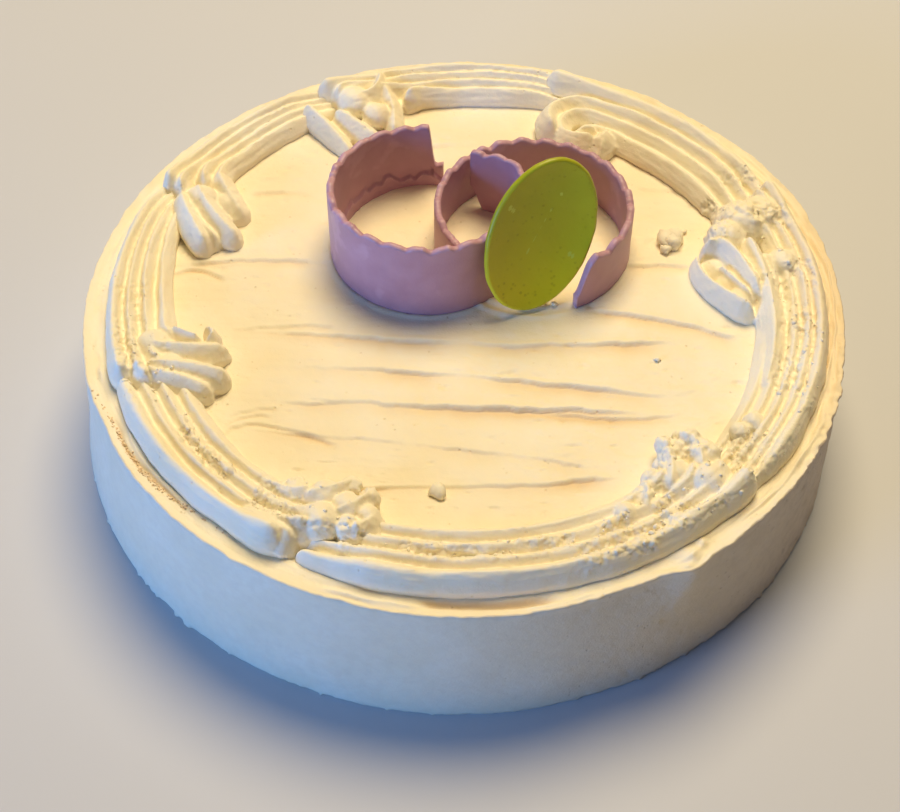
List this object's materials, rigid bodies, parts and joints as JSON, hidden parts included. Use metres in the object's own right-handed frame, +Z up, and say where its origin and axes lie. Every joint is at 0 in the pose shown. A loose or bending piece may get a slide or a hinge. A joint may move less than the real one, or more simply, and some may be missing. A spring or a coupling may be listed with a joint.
{
  "type": "sponge cake",
  "caption": "Round uncut cream-covered sponge cake: piped swags round the rim, interlocking chocolate curls and a dished green chocolate oval on top.",
  "frame": {"origin": "on the flat underside, on the axis of the rim of the top", "axes": "+Z up through the cake, +X to the right of the oval's face, front at -Y"},
  "size_m": [0.2458, 0.2458, 0.0943],
  "materials": {
    "cream": "spread cream, matte, knife marks and small pits",
    "piped_cream": "piped cream, satin ridges with torn, crumbly patches",
    "lilac_chocolate": "moulded coloured chocolate, satin",
    "green_chocolate": "moulded coloured chocolate, satin with fine specks"
  },
  "bodies": {
    "root": {"cake": "cream", "swag_1": "piped_cream", "swag_2": "piped_cream", "swag_3": "piped_cream", "swag_4": "piped_cream", "swag_5": "piped_cream", "swag_6": "piped_cream", "swag_7": "piped_cream", "curl_left": "lilac_chocolate", "curl_right": "lilac_chocolate", "green_oval": "green_chocolate"}
  },
  "joints": []
}
